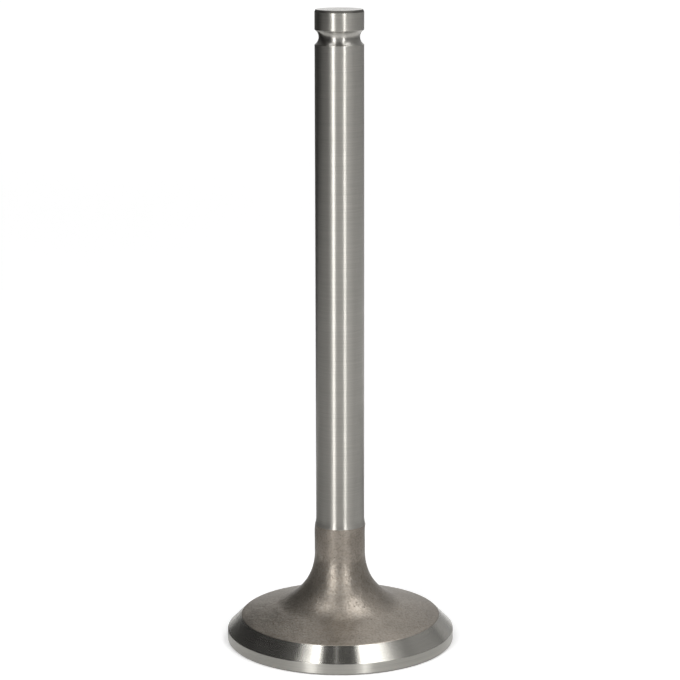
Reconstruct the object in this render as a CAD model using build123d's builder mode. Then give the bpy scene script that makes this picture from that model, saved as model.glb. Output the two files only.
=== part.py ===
from build123d import *
import math
import os

# Engine valve, one piece of steel standing on its head
# Millimetres, +Z up the stem, origin at the centre of the flat combustion face

# Stem, ground all over
overall_length = 131.35
stem_dia = 10.0
tip_chamfer_height = 0.5
tip_chamfer_width = 0.25

# Keeper groove, a round-bottomed ring near the tip
groove_from_tip = 5.5  # tip face to the middle of the groove
groove_radius = 1.7
groove_depth = 0.82
groove_lip_radius = 0.15

# Neck, the straight length below the ground stem that is left as forged
neck_length = 6.15
grinding_allowance = 0.25  # steel taken off each side where the stem is ground
runout_length = 1.65  # the corner of the grinding wheel fades out over this length

# Throat and back of the head, left as forged
throat_radius = 11.6
back_slope = 17.6  # degrees from level

# Head, its seat ground and its rim turned
head_dia = 47.3
margin_height = 2.35
seat_breadth = 3.0  # measured along a radius, seen from above
seat_angle = 45.0  # degrees from level
seat_edge_break = 0.3
face_edge_break = 0.3

# Radii and heights that follow from the sizes above
stem_r = stem_dia / 2
neck_r = stem_r + grinding_allowance
head_r = head_dia / 2
seat_inner_r = head_r - seat_breadth
seat_top = margin_height + seat_breadth * math.tan(math.radians(seat_angle))
back_rise = (seat_inner_r - neck_r) * math.tan(math.radians(back_slope))
throat_bottom = seat_top + back_rise  # where the back's cone would meet the neck
throat_height = throat_radius * math.tan(math.radians((90 - back_slope) / 2))
neck_top = throat_bottom + throat_height + neck_length
groove_z = overall_length - groove_from_tip
groove_centre_r = stem_r - groove_depth + groove_radius
groove_half_width = math.sqrt(groove_radius**2 - (groove_centre_r - stem_r) ** 2)


def corner(section, r, z):
    """The corner of a section that lies nearest to radius r and height z."""
    return section.vertices().sort_by_distance((r, z))[0]


with BuildPart() as valve:
    with BuildSketch(Plane.XZ) as half_section:
        # Forging: the head, the cone of its back, and a straight shank of the neck's size
        with BuildLine():
            Polyline(
                (0, 0),
                (head_r, 0),
                (head_r, margin_height),
                (seat_inner_r, seat_top),
                (neck_r, throat_bottom),
                (neck_r, overall_length),
                (0, overall_length),
                close=True,
            )
        make_face()
        fillet(corner(half_section, neck_r, throat_bottom), throat_radius)

        # Stem ground to size and its tip chamfered, the wheel's rounded corner running out on the neck
        with BuildLine():
            fade = TangentArc(
                (stem_r, neck_top + runout_length),
                (neck_r, neck_top),
                tangent=(0, -1),
            )
            Polyline(
                fade @ 1,
                (head_r, neck_top),
                (head_r, overall_length),
                (stem_r - tip_chamfer_width, overall_length),
                (stem_r, overall_length - tip_chamfer_height),
                fade @ 0,
            )
        make_face(mode=Mode.SUBTRACT)

        # Keeper groove with its two lips rounded off
        with Locations((groove_centre_r, groove_z)):
            Circle(groove_radius, mode=Mode.SUBTRACT)
        upper_lip = corner(half_section, stem_r, groove_z + groove_half_width)
        lower_lip = corner(half_section, stem_r, groove_z - groove_half_width)
        fillet([upper_lip, lower_lip], groove_lip_radius)

        # Broken edges at the top of the seat and round the combustion face
        chamfer(corner(half_section, seat_inner_r, seat_top), seat_edge_break)
        chamfer(corner(half_section, head_r, 0), face_edge_break)
    revolve(axis=Axis.Z)

valve.part.label = "valve"

os.makedirs("parts", exist_ok=True)
export_step(valve.part, "parts/valve.step")
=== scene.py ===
import math

import bpy
from mathutils import Matrix, Vector, noise


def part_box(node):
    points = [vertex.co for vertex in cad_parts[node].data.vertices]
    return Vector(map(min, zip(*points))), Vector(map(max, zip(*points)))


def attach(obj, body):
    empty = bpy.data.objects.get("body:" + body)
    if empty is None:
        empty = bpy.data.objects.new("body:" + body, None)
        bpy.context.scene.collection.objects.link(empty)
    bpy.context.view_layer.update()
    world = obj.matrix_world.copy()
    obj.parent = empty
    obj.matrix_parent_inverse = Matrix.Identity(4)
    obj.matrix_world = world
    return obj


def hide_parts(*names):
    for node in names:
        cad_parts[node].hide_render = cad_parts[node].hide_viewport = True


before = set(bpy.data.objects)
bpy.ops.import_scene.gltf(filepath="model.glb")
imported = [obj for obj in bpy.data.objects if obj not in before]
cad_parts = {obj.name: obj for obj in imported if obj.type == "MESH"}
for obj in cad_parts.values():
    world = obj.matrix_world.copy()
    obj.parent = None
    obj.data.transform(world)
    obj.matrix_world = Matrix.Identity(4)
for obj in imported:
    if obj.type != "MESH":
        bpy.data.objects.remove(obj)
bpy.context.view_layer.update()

# Sizes in metres, +Z up the stem, origin at the centre of the combustion face
MM = 0.001

# Stem and tip
node_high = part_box("valve")[1]
LENGTH = node_high.z
STEM_R = 5.0 * MM
TIP_CHAMFER_HEIGHT = 0.5 * MM
TIP_CHAMFER_WIDTH = 0.25 * MM

# Keeper groove
GROOVE_FROM_TIP = 5.5 * MM
GROOVE_RADIUS = 1.7 * MM
GROOVE_DEPTH = 0.82 * MM
GROOVE_LIP = 0.15 * MM

# Neck, throat and back of the head
NECK_R = STEM_R + 0.25 * MM
NECK_LENGTH = 6.15 * MM
RUNOUT_LENGTH = 1.65 * MM
THROAT_RADIUS = 11.6 * MM
BACK_SLOPE = math.radians(17.6)

# Head
HEAD_R = node_high.x
MARGIN_HEIGHT = 2.35 * MM
SEAT_BREADTH = 3.0 * MM
FACE_EDGE_BREAK = 0.3 * MM

# Heights and radii that follow
SEAT_INNER_R = HEAD_R - SEAT_BREADTH
SEAT_TOP = MARGIN_HEIGHT + SEAT_BREADTH
THROAT_CORNER_Z = SEAT_TOP + (SEAT_INNER_R - NECK_R) * math.tan(BACK_SLOPE)
THROAT_RISE = THROAT_RADIUS * math.tan(math.radians(45) - BACK_SLOPE / 2)
NECK_BOTTOM = THROAT_CORNER_Z + THROAT_RISE
NECK_TOP = NECK_BOTTOM + NECK_LENGTH
STEM_BOTTOM = NECK_TOP + RUNOUT_LENGTH
GROOVE_Z = LENGTH - GROOVE_FROM_TIP
GROOVE_CENTRE_R = STEM_R - GROOVE_DEPTH + GROOVE_RADIUS

# Corners, rounded off
EDGE_ROUNDING = 0.05 * MM  # every turned or ground corner
SEAT_EDGE_ROUNDING = 0.5 * MM  # the blunt one between seat and back

# Forged skin
SWELL_HEIGHT = 0.035 * MM  # how far it rises and falls
SWELL_SIZE = 4.0 * MM
SWELL_FINER = 2.3  # a second swell is smaller by this factor
SWELL_FINER_SHARE = 0.5  # and this much as high
SWELL_FINER_PLACE = Vector((7, 3, 5))
FORGED_FADE = 1.2 * MM  # the skin is true again this close to a machined edge
FORGED_OFFSET = 0.09 * MM  # the forging stands this far to the left of the ground stem's axis
NECK_DARK_FROM = NECK_BOTTOM - 2.5 * MM  # the skin darkens from here
NECK_DARK_TO = NECK_BOTTOM + 1.5 * MM  # up to here

# Mesh: segments round the axis, length of the rows on each stretch, and steps round each arc
SEGMENTS = 360
FACE_ROW = 2.0 * MM
SIDE_ROW = 0.5 * MM
FORGED_ROW = 0.25 * MM
STEM_ROW = 4.0 * MM
TIP_ROW = 1.0 * MM
EDGE_STEPS = 3
SEAT_EDGE_STEPS = 6
THROAT_STEPS = 58
RUNOUT_STEPS = 8
LIP_STEPS = 5
GROOVE_STEPS = 18


class Outline:
    """A half section drawn from point to point, (r, z), with the finish of each stretch."""

    def __init__(self, start):
        self.points = [start]
        self.finishes = []

    def add(self, points, finish):
        self.points += points
        self.finishes += [finish] * len(points)

    def line(self, end, finish, row):
        """Straight to end in rows of about that length, with one more close to each end."""
        start = self.points[-1]
        length = math.dist(start, end)
        ease = min(EDGE_ROUNDING * 2, length / 4)
        count = max(1, round((length - 2 * ease) / row))
        stops = [ease + (length - 2 * ease) * i / count for i in range(count + 1)] + [length]
        self.add([toward(start, end, s) for s in stops], finish)

    def arc(self, centre, end, finish, steps):
        """Round centre to end, the short way."""
        start = self.points[-1]
        radius = math.dist(start, centre)
        a = math.atan2(start[1] - centre[1], start[0] - centre[0])
        b = math.atan2(end[1] - centre[1], end[0] - centre[0])
        turn = (b - a + math.pi) % (2 * math.pi) - math.pi
        angles = [a + turn * (i + 1) / steps for i in range(steps)]
        points = [(centre[0] + radius * math.cos(t), centre[1] + radius * math.sin(t)) for t in angles]
        self.add(points, finish)

    def corner(self, at, after, radius, finish, row, steps, rounding=None):
        """Straight towards at, then round it with this radius on the way to after.

        rounding is the arc's finish, where it isn't the straight's.
        """
        before = self.points[-1]
        u = Vector(before) - Vector(at)
        v = Vector(after) - Vector(at)
        half = u.angle(v) / 2
        reach = radius / math.tan(half)
        middle = (u.normalized() + v.normalized()).normalized()
        centre = Vector(at) + middle * (radius / math.sin(half))
        self.line(toward(at, before, reach), finish, row)
        self.arc(tuple(centre), toward(at, after, reach), rounding or finish, steps)


def toward(a, b, distance):
    """The point this far along the way from a to b."""
    share = distance / math.dist(a, b)
    return (a[0] + (b[0] - a[0]) * share, a[1] + (b[1] - a[1]) * share)


def valve_outline():
    """The whole half section, from the centre of the combustion face to the centre of the tip."""
    face_edge = (HEAD_R - FACE_EDGE_BREAK, 0)
    margin_bottom = (HEAD_R, FACE_EDGE_BREAK)
    margin_top = (HEAD_R, MARGIN_HEIGHT)
    seat_corner = (SEAT_INNER_R, SEAT_TOP)
    throat_corner = (NECK_R, THROAT_CORNER_Z)
    neck_top = (NECK_R, NECK_TOP)
    tip_land = (STEM_R, LENGTH - TIP_CHAMFER_HEIGHT)
    tip_edge = (STEM_R - TIP_CHAMFER_WIDTH, LENGTH)
    tip_centre = (0, LENGTH)

    # Lips of the groove: a small circle inside the stem that touches the groove's own
    lip_r = STEM_R - GROOVE_LIP
    reach = GROOVE_RADIUS + GROOVE_LIP
    lip_rise = math.sqrt(reach**2 - (GROOVE_CENTRE_R - lip_r) ** 2)
    lower_lip = (lip_r, GROOVE_Z - lip_rise)
    upper_lip = (lip_r, GROOVE_Z + lip_rise)
    groove_centre = (GROOVE_CENTRE_R, GROOVE_Z)
    groove_bottom = toward(lower_lip, groove_centre, GROOVE_LIP)
    groove_top = toward(upper_lip, groove_centre, GROOVE_LIP)

    # Run-out of the grinding wheel: an arc that ends tangent to the stem
    runout_r = STEM_R + ((NECK_R - STEM_R) ** 2 + RUNOUT_LENGTH**2) / (2 * (NECK_R - STEM_R))

    half = Outline((0, 0))
    half.corner(face_edge, margin_bottom, EDGE_ROUNDING, "turned_face", FACE_ROW, EDGE_STEPS)
    half.corner(margin_bottom, margin_top, EDGE_ROUNDING, "face_chamfer", SIDE_ROW, EDGE_STEPS)
    half.corner(margin_top, seat_corner, EDGE_ROUNDING, "turned_margin", SIDE_ROW, EDGE_STEPS)
    half.corner(
        seat_corner, throat_corner, SEAT_EDGE_ROUNDING, "ground_seat", SIDE_ROW, SEAT_EDGE_STEPS, "forged"
    )
    half.corner(throat_corner, neck_top, THROAT_RADIUS, "forged", FORGED_ROW, THROAT_STEPS)
    half.line(neck_top, "forged", FORGED_ROW)
    half.arc((runout_r, STEM_BOTTOM), (STEM_R, STEM_BOTTOM), "ground_stem", RUNOUT_STEPS)
    half.line((STEM_R, lower_lip[1]), "ground_stem", STEM_ROW)
    half.arc(lower_lip, groove_bottom, "ground_stem", LIP_STEPS)
    half.arc(groove_centre, groove_top, "ground_groove_painted_shade", GROOVE_STEPS)
    half.arc(upper_lip, (STEM_R, upper_lip[1]), "ground_stem", LIP_STEPS)
    half.corner(tip_land, tip_edge, EDGE_ROUNDING, "ground_stem", TIP_ROW, EDGE_STEPS)
    half.corner(tip_edge, tip_centre, EDGE_ROUNDING, "tip_chamfer", SIDE_ROW, EDGE_STEPS)
    half.line(tip_centre, "turned_tip", TIP_ROW)
    return half


def swell(x, y, z):
    """How far the forged skin stands proud at a place."""
    place = Vector((x, y, z)) / SWELL_SIZE
    finer = noise.noise(place * SWELL_FINER + SWELL_FINER_PLACE)
    return SWELL_HEIGHT * (noise.noise(place) + SWELL_FINER_SHARE * finer)


def build_valve(finishes):
    """The valve as one closed mesh: rings of the outline, and one vertex at each end of the axis."""
    half = valve_outline()
    rings = half.points[1:-1]
    skin = [i for i, finish in enumerate(half.finishes) if finish == "forged"]
    skin_start = half.points[skin[0]]
    skin_end = half.points[skin[-1] + 1]

    vertices = [(0, 0, 0)]
    for i, (r, z) in enumerate(rings):
        before, after = half.points[i], half.points[i + 2]
        lean = math.atan2(after[0] - before[0], after[1] - before[1])
        share = 0
        if half.finishes[i] == "forged" and half.finishes[i + 1] == "forged":
            edge = min(math.dist((r, z), skin_start), math.dist((r, z), skin_end))
            share = min(1, edge / FORGED_FADE)
            share *= share * (3 - 2 * share)  # eased at both ends
        for k in range(SEGMENTS):
            angle = 2 * math.pi * k / SEGMENTS
            x, y = math.cos(angle), math.sin(angle)
            rise = swell(r * x, r * y, z) * share
            out = r + rise * math.cos(lean)
            vertices.append((out * x - FORGED_OFFSET * share, out * y, z - rise * math.sin(lean)))
    vertices.append((0, 0, LENGTH))

    faces = []
    slots = []
    names = list(finishes)
    for k in range(SEGMENTS):
        faces.append((0, 1 + (k + 1) % SEGMENTS, 1 + k))
        slots.append(names.index(half.finishes[0]))
    for i in range(len(rings) - 1):
        low, high = 1 + i * SEGMENTS, 1 + (i + 1) * SEGMENTS
        for k in range(SEGMENTS):
            n = (k + 1) % SEGMENTS
            faces.append((low + k, low + n, high + n, high + k))
            slots.append(names.index(half.finishes[i + 1]))
    top = len(vertices) - 1
    last_ring = top - SEGMENTS
    for k in range(SEGMENTS):
        faces.append((last_ring + k, last_ring + (k + 1) % SEGMENTS, top))
        slots.append(names.index(half.finishes[-1]))

    mesh = bpy.data.meshes.new("valve_steel")
    mesh.from_pydata(vertices, [], faces)
    for material in finishes.values():
        mesh.materials.append(material)
    mesh.polygons.foreach_set("material_index", slots)
    mesh.polygons.foreach_set("use_smooth", [True] * len(faces))
    mesh.update()
    piece = bpy.data.objects.new("valve_steel", mesh)
    bpy.context.scene.collection.objects.link(piece)
    return piece


class Shader:
    """A material's node tree, with short calls for the nodes used here."""

    def __init__(self, name):
        self.material = bpy.data.materials.new(name)
        self.material.use_nodes = True
        self.tree = self.material.node_tree
        self.tree.nodes.clear()
        self.output = self.tree.nodes.new("ShaderNodeOutputMaterial")

    def node(self, kind, **settings):
        made = self.tree.nodes.new("ShaderNode" + kind)
        for key, value in settings.items():
            setattr(made, key, value)
        return made

    def link(self, source, target):
        self.tree.links.new(source, target)

    def place(self, scale):
        """Object coordinates in millimetres, stretched by these three factors."""
        coordinates = self.node("TexCoord")
        mapping = self.node("Mapping")
        mapping.inputs["Scale"].default_value = [s / MM for s in scale]
        self.link(coordinates.outputs["Object"], mapping.inputs["Vector"])
        return mapping.outputs["Vector"]

    def radius(self):
        """Distance from the axis in millimetres."""
        length = self.node("VectorMath", operation="LENGTH")
        self.link(self.place((1, 1, 0)), length.inputs[0])
        return length.outputs["Value"]

    def height(self, place):
        """The last coordinate of a place."""
        axes = self.node("SeparateXYZ")
        self.link(place, axes.inputs["Vector"])
        return axes.outputs["Z"]

    def noise(self, vector, scale, detail=2.0, roughness=0.5, dimensions="3D"):
        made = self.node("TexNoise", noise_dimensions=dimensions)
        made.inputs["Scale"].default_value = scale
        made.inputs["Detail"].default_value = detail
        made.inputs["Roughness"].default_value = roughness
        self.link(vector, made.inputs["W" if dimensions == "1D" else "Vector"])
        return made.outputs["Fac"]

    def cells(self, vector, scale):
        """Distance from the nearest of many scattered points."""
        made = self.node("TexVoronoi", feature="F1")
        made.inputs["Scale"].default_value = scale
        self.link(vector, made.inputs["Vector"])
        return made.outputs["Distance"]

    def spread(self, value, low, high, start=0.3, end=0.7):
        """value from start to end, carried over to low to high."""
        made = self.node("MapRange", clamp=True)
        made.inputs["From Min"].default_value = start
        made.inputs["From Max"].default_value = end
        made.inputs["To Min"].default_value = low
        made.inputs["To Max"].default_value = high
        self.link(value, made.inputs["Value"])
        return made.outputs["Result"]

    def combine(self, operation, a, b):
        made = self.node("Math", operation=operation)
        self.link(a, made.inputs[0])
        self.link(b, made.inputs[1])
        return made.outputs["Value"]

    def blend(self, factor, a, b):
        """From colour a to colour b as factor goes from 0 to 1."""
        made = self.node("Mix", data_type="RGBA")
        factor_socket, a_socket, b_socket = made.inputs[0], made.inputs[6], made.inputs[7]
        self.link(factor, factor_socket)
        for socket, value in ((a_socket, a), (b_socket, b)):
            if isinstance(value, tuple):
                socket.default_value = (*value, 1)
            else:
                self.link(value, socket)
        return made.outputs[2]

    def bump(self, height, depth, after=None):
        """A bump whose heights are in units of depth."""
        made = self.node("Bump")
        made.inputs["Distance"].default_value = depth
        made.inputs["Strength"].default_value = 1.0
        self.link(height, made.inputs["Height"])
        if after is not None:
            self.link(after, made.inputs["Normal"])
        return made.outputs["Normal"]

    def metal(self, colour, roughness, normal, anisotropic=0.0, metallic=1.0):
        """Steel. Where it is anisotropic its fine lines run round the axis."""
        steel = self.node("BsdfPrincipled")
        steel.inputs["Metallic"].default_value = metallic
        self.link(colour, steel.inputs["Base Color"])
        self.link(roughness, steel.inputs["Roughness"])
        self.link(normal, steel.inputs["Normal"])
        if anisotropic:
            tangent = self.node("Tangent", direction_type="RADIAL", axis="Z")
            steel.inputs["Anisotropic"].default_value = anisotropic
            steel.inputs["Anisotropic Rotation"].default_value = 0.25  # a quarter of a turn
            self.link(tangent.outputs["Tangent"], steel.inputs["Tangent"])
        self.link(steel.outputs["BSDF"], self.output.inputs["Surface"])
        return self.material


def lined_steel(name, *, stretch, detail, dark, light, roughness, depth, anisotropic=0.0, uneven=0.0):
    """Steel with fine lines round the axis.

    stretch is the scale of the lines along X, Y and Z, and depth how deep they are. roughness has
    a low and a high end, and uneven is how far it wanders besides from one broad patch to the next.
    """
    s = Shader(name)
    lines = s.noise(s.place(stretch), 1.0, detail)
    colour = s.blend(s.spread(lines, 0, 1), dark, light)
    dull = s.spread(lines, *roughness)
    if uneven:
        patches = s.noise(s.place((0.05, 0.05, 0.25)), 1.0, 3.0)
        dull = s.combine("ADD", dull, s.spread(patches, -uneven, uneven))
    return s.metal(colour, dull, s.bump(lines, depth), anisotropic)


def turned_face(name, *, pitch, dark, light, roughness):
    """A flat face with the rings that a facing cut leaves, this many millimetres apart."""
    ring_share = 0.45
    band_share = 0.35
    patch_share = 0.2
    rings_in_a_band = 5
    ring_depth = 0.004 * MM

    s = Shader(name)
    radius = s.radius()
    rings = s.noise(radius, 1 / pitch, 2.0, dimensions="1D")
    bands = s.noise(radius, 1 / rings_in_a_band / pitch, 1.0, dimensions="1D")
    patches = s.noise(s.place((0.12, 0.12, 0.12)), 1.0, 3.0)
    lines = s.combine("ADD", s.spread(rings, 0, ring_share), s.spread(bands, 0, band_share))
    shade = s.combine("ADD", lines, s.spread(patches, 0, patch_share))
    colour = s.blend(shade, dark, light)
    return s.metal(colour, s.spread(rings, *roughness), s.bump(rings, ring_depth), 0.8)


def forged():
    """The skin left by the forge: warm grey oxide with a fine grain and small pits, darker up the neck."""
    oxide = (0.290, 0.257, 0.218)
    pale_oxide = (0.365, 0.322, 0.274)
    bright_stain = (0.38, 0.352, 0.315)
    neck_oxide = (0.20, 0.172, 0.146)
    dark_grain = (0.13, 0.108, 0.085)
    pit_floor = (0.15, 0.125, 0.10)
    pit_depth = 0.02 * MM
    grain_depth = 0.038 * MM
    stain_depth = 0.05 * MM

    s = Shader("forged")
    place = s.place((1, 1, 1))
    grain = s.noise(place, 2.4, 2.0, 0.55)
    mottle = s.noise(place, 0.28, 3.0, 0.6)
    stain = s.noise(place, 1.1, 2.0)
    pits = s.spread(s.cells(place, 0.8), 0, 1, 0.05, 0.13)
    neck = s.spread(s.height(place), 0, 0.26, NECK_DARK_FROM / MM, NECK_DARK_TO / MM)

    colour = s.blend(s.spread(mottle, 0, 1), oxide, pale_oxide)
    colour = s.blend(s.spread(stain, 0, 0.4), colour, bright_stain)
    colour = s.blend(neck, colour, neck_oxide)
    colour = s.blend(s.spread(grain, 0, 0.4, 0.45, 0.70), colour, dark_grain)
    colour = s.blend(pits, pit_floor, colour)
    roughness = s.combine("ADD", s.spread(grain, 0.33, 0.41), s.spread(mottle, -0.03, 0.03))
    normal = s.bump(pits, pit_depth)
    normal = s.bump(grain, grain_depth, normal)
    normal = s.bump(stain, stain_depth, normal)
    return s.metal(colour, roughness, normal, metallic=0.9)


finishes = {
    # The combustion face
    "turned_face": turned_face(
        "turned_face",
        pitch=0.35,
        dark=(0.37, 0.359, 0.331),
        light=(0.57, 0.553, 0.510),
        roughness=(0.34, 0.44),
    ),
    # The chamfer under the rim, coloured darker: painted shade for the contact shade along the rim's bottom
    # edge
    "face_chamfer": lined_steel(
        "chamfer_painted_shade",
        stretch=(0.1, 0.1, 5),
        detail=2.0,
        dark=(0.20, 0.193, 0.178),
        light=(0.265, 0.256, 0.236),
        roughness=(0.44, 0.52),
        depth=0.004 * MM,
    ),
    # The rim, turned with a fine feed
    "turned_margin": lined_steel(
        "turned_margin",
        stretch=(0.04, 0.04, 7),
        detail=2.0,
        dark=(0.365, 0.354, 0.327),
        light=(0.475, 0.461, 0.425),
        roughness=(0.34, 0.42),
        depth=0.004 * MM,
        anisotropic=1.0,
    ),
    # The seat's cone, ground brighter than the stem
    "ground_seat": lined_steel(
        "ground_seat",
        stretch=(0.08, 0.08, 8),
        detail=3.0,
        dark=(0.49, 0.475, 0.437),
        light=(0.55, 0.534, 0.492),
        roughness=(0.22, 0.23),
        depth=0.0002 * MM,
        anisotropic=1.0,
    ),
    # The neck, the throat and the back of the head
    "forged": forged(),
    # The stem, ground to size
    "ground_stem": lined_steel(
        "ground_stem",
        stretch=(0.12, 0.12, 9),
        detail=3.0,
        dark=(0.415, 0.403, 0.372),
        light=(0.485, 0.470, 0.434),
        roughness=(0.37, 0.42),
        depth=0.001 * MM,
        anisotropic=1.0,
        uneven=0.02,
    ),
    # The groove, formed by a profiled wheel, and coloured darker than the stem: painted shade for the dark
    # that its hollow reflects
    "ground_groove_painted_shade": lined_steel(
        "ground_groove_painted_shade",
        stretch=(0.15, 0.15, 6),
        detail=3.0,
        dark=(0.33, 0.320, 0.297),
        light=(0.38, 0.369, 0.342),
        roughness=(0.29, 0.33),
        depth=0.001 * MM,
        anisotropic=0.8,
    ),
    # The chamfer at the tip, coloured dark: painted shade for the dark reflection this chamfer shows
    "tip_chamfer": lined_steel(
        "tip_chamfer_painted_shade",
        stretch=(0.6, 0.6, 5),
        detail=3.0,
        dark=(0.095, 0.091, 0.084),
        light=(0.145, 0.139, 0.128),
        roughness=(0.46, 0.54),
        depth=0.003 * MM,
    ),
    # The tip's own face
    "turned_tip": turned_face(
        "turned_tip",
        pitch=0.2,
        dark=(0.56, 0.545, 0.515),
        light=(0.64, 0.625, 0.595),
        roughness=(0.19, 0.29),
    ),
}
valve = build_valve(finishes)
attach(valve, "root")
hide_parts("valve")

# Floor and room: white, and as white in a reflection as to the camera
FLOOR_RADIUS = 3.0
FLOOR_OPENING = HEAD_R - 0.8 * MM  # the valve covers it, and its face can be seen from below
FLOOR_COLOUR = 0.93
FLOOR_LIFT_NEAR = 0.235  # added to what the lamps give, up to the first distance from the axis
FLOOR_LIFT_FAR = 0.65  # and from the second one on
FLOOR_LIFT_FROM = 0.15
FLOOR_LIFT_TO = 1.3
ROOM_LIGHT = 0.42
SHEET_STEP = 5  # degrees of azimuth to one face of a curved sheet


def seen_rays(tree):
    """1 for rays that show the background: straight from the camera, or by way of metal or glass."""
    path = tree.nodes.new("ShaderNodeLightPath")
    total = path.outputs["Is Camera Ray"]
    for other in ("Is Glossy Ray", "Is Transmission Ray"):
        most = tree.nodes.new("ShaderNodeMath")
        most.operation = "MAXIMUM"
        tree.links.new(total, most.inputs[0])
        tree.links.new(path.outputs[other], most.inputs[1])
        total = most.outputs["Value"]
    return total


def stage_mesh(name, points, faces, material):
    """A sheet of the studio, which isn't part of the valve."""
    mesh = bpy.data.meshes.new(name)
    mesh.from_pydata(points, [], faces)
    mesh.materials.append(material)
    made = bpy.data.objects.new(name, mesh)
    bpy.context.scene.collection.objects.link(made)
    return made


def around(azimuth, distance, height):
    """A point round the valve; azimuth 0 is towards the camera and 90 to its right."""
    a = math.radians(azimuth)
    return (distance * math.sin(a), -distance * math.cos(a), height)


def sweep(start, end, first, second):
    """Steps and points of two edges, each (distance, height), that run from azimuth start to end."""
    steps = max(1, round(abs(end - start) / SHEET_STEP))
    azimuths = [start + (end - start) * i / steps for i in range(steps + 1)]
    return steps, [around(azimuth, *edge) for edge in (first, second) for azimuth in azimuths]


def ring(start, end, inner, outer, height):
    """Points and faces of a level sheet round the valve, from azimuth start to end."""
    steps, points = sweep(start, end, (inner, height), (outer, height))
    return points, [(i, i + steps + 1, i + steps + 2, i + 1) for i in range(steps)]


def upright(start, end, distance, bottom, top):
    """Points and faces of a sheet that curves round the valve from azimuth start to end."""
    steps, points = sweep(start, end, (distance, bottom), (distance, top))
    return points, [(i, i + 1, i + steps + 2, i + steps + 1) for i in range(steps)]


def level(left, right, front, back, height, left_lean=0.0, right_lean=0.0):
    """Points and face of a level sheet over the valve; at the back its sides lean this far to the right."""
    points = [(left, front), (right, front), (right + right_lean, back), (left + left_lean, back)]
    return [(*point, height) for point in points], [(0, 1, 2, 3)]


def white_floor():
    """The floor, which glows a little to seen rays, and more so further out."""
    s = Shader("floor")
    matt = s.node("BsdfDiffuse")
    matt.inputs["Color"].default_value = (FLOOR_COLOUR, FLOOR_COLOUR, FLOOR_COLOUR, 1)
    lift = s.node("Emission")
    reach = s.spread(s.radius(), FLOOR_LIFT_NEAR, FLOOR_LIFT_FAR, FLOOR_LIFT_FROM / MM, FLOOR_LIFT_TO / MM)
    s.link(s.combine("MULTIPLY", seen_rays(s.tree), reach), lift.inputs["Strength"])
    both = s.node("AddShader")
    s.link(matt.outputs["BSDF"], both.inputs[0])
    s.link(lift.outputs["Emission"], both.inputs[1])
    s.link(both.outputs["Shader"], s.output.inputs["Surface"])
    return stage_mesh("floor", *ring(0, 360, FLOOR_OPENING, FLOOR_RADIUS, 0), s.material)


def white_room():
    """The room: white to seen rays, and dimmer as a light."""
    world = bpy.data.worlds.new("room")
    world.use_nodes = True
    bpy.context.scene.world = world
    tree = world.node_tree
    background = tree.nodes["Background"]
    strength = tree.nodes.new("ShaderNodeMapRange")
    strength.inputs["To Min"].default_value = ROOM_LIGHT
    strength.inputs["To Max"].default_value = 1.0
    tree.links.new(seen_rays(tree), strength.inputs["Value"])
    tree.links.new(strength.outputs["Result"], background.inputs["Strength"])
    background.inputs["Color"].default_value = (1, 1, 1, 1)


def glow(name, strength):
    """A white light of this strength, as a material."""
    s = Shader(name)
    light = s.node("Emission")
    light.inputs["Strength"].default_value = strength
    s.link(light.outputs["Emission"], s.output.inputs["Surface"])
    return s.material


def softbox(name, sheet, strength):
    """A lamp, out of the camera's sight."""
    lamp = stage_mesh(name, *sheet, glow(name, strength))
    lamp.visible_camera = False


def card(name, sheet, strength):
    """A card that only the polish of the valve sees, as grey as its strength."""
    made = stage_mesh(name, *sheet, glow(name, strength))
    made.visible_camera = False
    made.visible_diffuse = False
    made.visible_shadow = False


white_floor()
white_room()

# Distances of the upright sheets from the stem, and heights of the level ones
STRIPS = 0.55
LEFT = 0.19
LEFT_PATCH = 0.188
RIGHT = 0.35
RIGHT_TOP = 0.34
FRONT = 0.80
FRONT_CARD = 0.79
BACK = 0.90
FENCE = 0.06
FENCE_TOP = 0.014
CEILING = 1.0
CEILING_CARDS = CEILING + 0.001

# Two upright strips in front and two boxes overhead, one of each on either side,
# and a dimmer wing on the right
softbox("left_strip", upright(-34.5, -23.5, STRIPS, 0, 0.75), 6.3)
softbox("right_strip", upright(20.5, 28.5, STRIPS, 0, 0.75), 6.3)
softbox("left_box", level(-0.56, -0.262, -0.38, 0.12, CEILING, 0.10, 0.08), 4.1)
softbox("right_box", level(0.243, 0.45, -0.38, 0.33, CEILING, -0.06), 4.4)
softbox("right_wing", level(0.45, 0.82, -0.50, -0.10, CEILING), 3.0)

# Dark cards on the left
card("left_flag_low", upright(-95, -44, LEFT, 0, 0.05), 0.28)
card("left_flag_front", upright(-95, -44, LEFT, 0.05, 0.42), 0.06)
card("left_flag_patch", upright(-86, -68, LEFT_PATCH, 0.22, 0.34), 0.15)
card("left_flag_foot", upright(-161, -95, LEFT, 0, 0.025), 0.18)
card("left_flag_side", upright(-118, -95, LEFT, 0.025, 0.54), 0.03)
card("left_flag_rear", upright(-161, -118, LEFT, 0.025, 0.16), 0.03)
card("left_flag_top", upright(-161, -118, LEFT, 0.16, 0.46), 0.13)

# Low fences all round, and a grey card on the floor by the left of the rim: painted shade of the floor
# there, seen only in the rim's reflection
card("left_fence", upright(-134, -44, FENCE, 0, FENCE_TOP), 0.10)
card("right_fence", upright(40, 112, FENCE, 0, FENCE_TOP), 0.20)
card("right_rear_fence", upright(112, 127, FENCE, 0, 0.022), 0.44)
card("right_side_fence", upright(127, 150, FENCE, 0, 0.030), 0.38)
card("rear_fence", upright(150, 210, FENCE, 0, 0.016), 0.50)
card("left_rear_fence", upright(210, 226, FENCE, 0, FENCE_TOP), 0.24)
card("front_fence", upright(-20, 17, FENCE, 0, FENCE_TOP), 0.55)
card("left_floor_shade_card", ring(-150, -92, 0.0245, 0.036, 0.3 * MM), 0.50)

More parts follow.
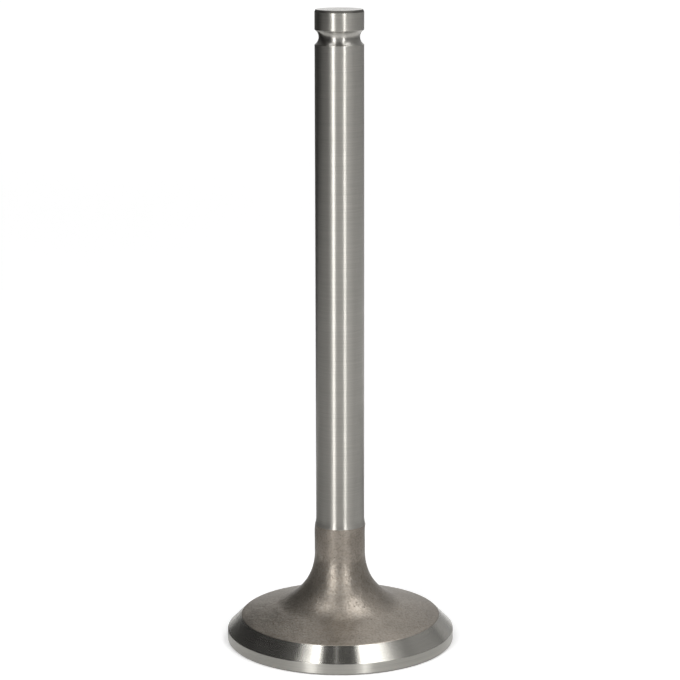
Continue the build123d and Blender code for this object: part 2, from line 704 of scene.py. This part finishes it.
# Dark cards in front, with a pale one between the strips, and dark ones between the boxes
card("front_flag", upright(-42, 40, FRONT, 0, 0.25), 0.12)
card("front_flag_middle", upright(-42, 40, FRONT, 0.25, 0.62), 0.26)
card("front_card", upright(-14, 14, FRONT_CARD, 0.36, 0.62), 0.95)
card("front_flag_high", upright(-42, 40, FRONT, 0.62, CEILING), 0.13)
card("ceiling_left", level(-0.34, -0.058, -0.80, -0.02, CEILING_CARDS, 0.14), 0.03)
card("ceiling_right", level(-0.040, 0.31, -0.80, -0.02, CEILING_CARDS, 0, -0.12), 0.03)
card("ceiling_rear", level(-0.26, 0.244, -0.02, 0.45, CEILING_CARDS), 0.26)

# Greyer cards on the right, and pale ones behind
card("right_card_low", upright(40, 160, RIGHT, 0, 0.06), 0.50)
card("right_card", upright(40, 160, RIGHT, 0.06, 0.16), 0.20)
card("right_card_high", upright(40, 160, RIGHT, 0.16, 0.5), 0.38)
card("right_card_top", upright(84, 108, RIGHT_TOP, 0.32, 0.5), 0.25)
card("back_card_right", upright(140, 163.5, BACK, 0.34, CEILING), 1.0)
card("back_card_middle", upright(163.5, 188, BACK, 0.34, CEILING), 0.80)
card("back_card_left", upright(188, 220, BACK, 0.34, CEILING), 0.62)
card("back_card_low", upright(140, 220, BACK, 0.13, 0.28), 0.80)

# Camera, level across and looking down a little
CAMERA_DISTANCE = 0.4788
CAMERA_HEIGHT = 0.1665
CAMERA_SIDE = 0.025 * MM
CAMERA_DOWN = math.radians(12.09)
CAMERA_ROLL = math.radians(-0.10)
CAMERA_LENS = 126.4
CAMERA_SENSOR = 36
NEAREST_SEEN = 0.01
FARTHEST_SEEN = 20
lens = bpy.data.cameras.new("camera")
lens.sensor_width = CAMERA_SENSOR
lens.lens = CAMERA_LENS
lens.clip_start = NEAREST_SEEN
lens.clip_end = FARTHEST_SEEN
camera = bpy.data.objects.new("camera", lens)
camera.location = (CAMERA_SIDE, -CAMERA_DISTANCE, CAMERA_HEIGHT)
aim = Matrix.Rotation(math.radians(90) - CAMERA_DOWN, 3, "X") @ Matrix.Rotation(CAMERA_ROLL, 3, "Z")
camera.rotation_euler = aim.to_euler()
bpy.context.scene.collection.objects.link(camera)
bpy.context.scene.camera = camera

bpy.context.scene.view_settings.view_transform = "Standard"
